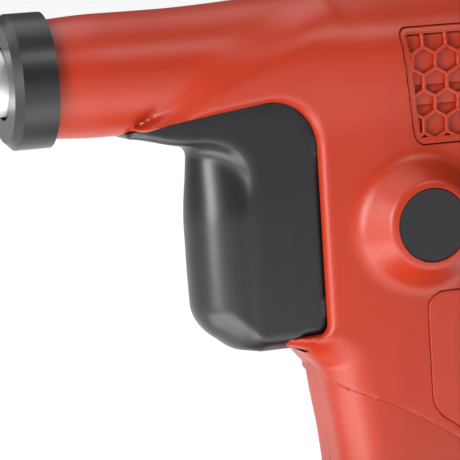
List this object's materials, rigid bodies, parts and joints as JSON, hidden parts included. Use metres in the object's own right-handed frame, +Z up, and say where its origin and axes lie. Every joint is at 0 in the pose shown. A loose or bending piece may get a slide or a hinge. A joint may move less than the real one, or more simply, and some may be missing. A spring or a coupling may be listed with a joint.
{
  "type": "cordless hot glue gun",
  "caption": "Cordless pistol-grip hot glue gun with an orange clamshell body, a black finger trigger, a side push button, a brass nozzle and a slide-on battery foot.",
  "frame": {"origin": "centre of the battery's underside, where the tool stands", "axes": "+Z up along the handle, nozzle towards -X, button side -Y, right side +Y"},
  "size_m": [0.193, 0.075, 0.2009],
  "materials": {
    "orange_shell": "satin",
    "orange_rubber": "matte",
    "black_plastic": "satin",
    "white_plastic": "satin",
    "steel": "satin",
    "spring_steel": "satin",
    "silicone": "matte",
    "aluminium": "satin",
    "ceramic": "matte",
    "brass": "satin",
    "copper": "satin",
    "board": "matte",
    "cell": "satin"
  },
  "bodies": {
    "body": {"left_housing": "orange_shell", "right_housing": "orange_shell", "housing_screws": "steel", "left_vent_panel": "orange_shell", "right_vent_panel": "orange_shell", "palm_pad": "orange_rubber", "trigger_spring": "spring_steel", "lever_pivot_pin": "steel", "stick_guide": "white_plastic", "inlet_collar": "black_plastic", "inlet_sleeve": "silicone", "melt_chamber": "aluminium", "heater_plates": "ceramic", "heater_band": "spring_steel", "thermal_fuse": "steel", "chamber_rings": "white_plastic", "nozzle": "brass", "valve_spring": "spring_steel", "nozzle_boot": "silicone", "front_collar": "black_plastic", "button_spring": "spring_steel", "power_switch": "black_plastic", "control_board": "board", "terminal_block": "black_plastic", "terminal_blades": "copper"},
    "trigger": {"trigger": "black_plastic"},
    "feed_lever": {"feed_lever": "white_plastic"},
    "carriage": {"feed_carriage": "white_plastic", "jaw_pin": "steel", "jaw_spring": "spring_steel"},
    "jaw": {"gripper_jaw": "steel"},
    "button": {"power_button": "black_plastic", "switch_plunger": "white_plastic"},
    "battery": {"battery_case_lower": "black_plastic", "battery_case_upper": "black_plastic", "battery_screws": "steel", "battery_cells": "cell", "battery_contacts": "copper", "latch_springs": "spring_steel"},
    "latch": {"battery_latch": "orange_shell"},
    "ball": {"valve_ball": "steel"}
  },
  "joints": [
    {"name": "trigger_pull", "type": "slide", "parent": "body", "child": "trigger", "axis": [1, 0, 0], "range_m": [0, 0.018], "stiffness_N_per_m": 400, "springref_m": -0.01, "deforming": ["trigger_spring"]},
    {"name": "lever_swing", "type": "hinge", "parent": "body", "child": "feed_lever", "pos_m": [-0.0127, 0, 0.166], "axis": [0, -1, 0], "range_deg": [0, 50.8]},
    {"name": "carriage_feed", "type": "slide", "parent": "body", "child": "carriage", "axis": [-1, 0, 0], "range_m": [0, 0.0152]},
    {"name": "jaw_bite", "type": "hinge", "parent": "carriage", "child": "jaw", "pos_m": [-0.00131, 0, 0.1909], "axis": [0, -1, 0], "range_deg": [0, 8], "stiffness_Nm_per_rad": 0.02, "springref_deg": -5.73},
    {"name": "button_press", "type": "slide", "parent": "body", "child": "button", "axis": [0, 1, 0], "range_m": [0, 0.002], "stiffness_N_per_m": 600, "springref_m": -0.002, "deforming": ["button_spring"]},
    {"name": "battery_slide", "type": "slide", "parent": "body", "child": "battery", "axis": [-1, 0, 0], "range_m": [0, 0.094]},
    {"name": "latch_press", "type": "slide", "parent": "battery", "child": "latch", "axis": [0, 0, -1], "range_m": [0, 0.0025], "stiffness_N_per_m": 800, "springref_m": -0.0015, "deforming": ["latch_springs"]},
    {"name": "valve_open", "type": "slide", "parent": "body", "child": "ball", "axis": [-1, 0, 0], "range_m": [0, 0.0012], "stiffness_N_per_m": 300, "springref_m": -0.002, "deforming": ["valve_spring"]}
  ],
  "couplings": [
    {"joint": "lever_swing", "follows": "trigger_pull", "rad_per_m": 49.212},
    {"joint": "carriage_feed", "follows": "trigger_pull", "ratio": 0.84327}
  ]
}
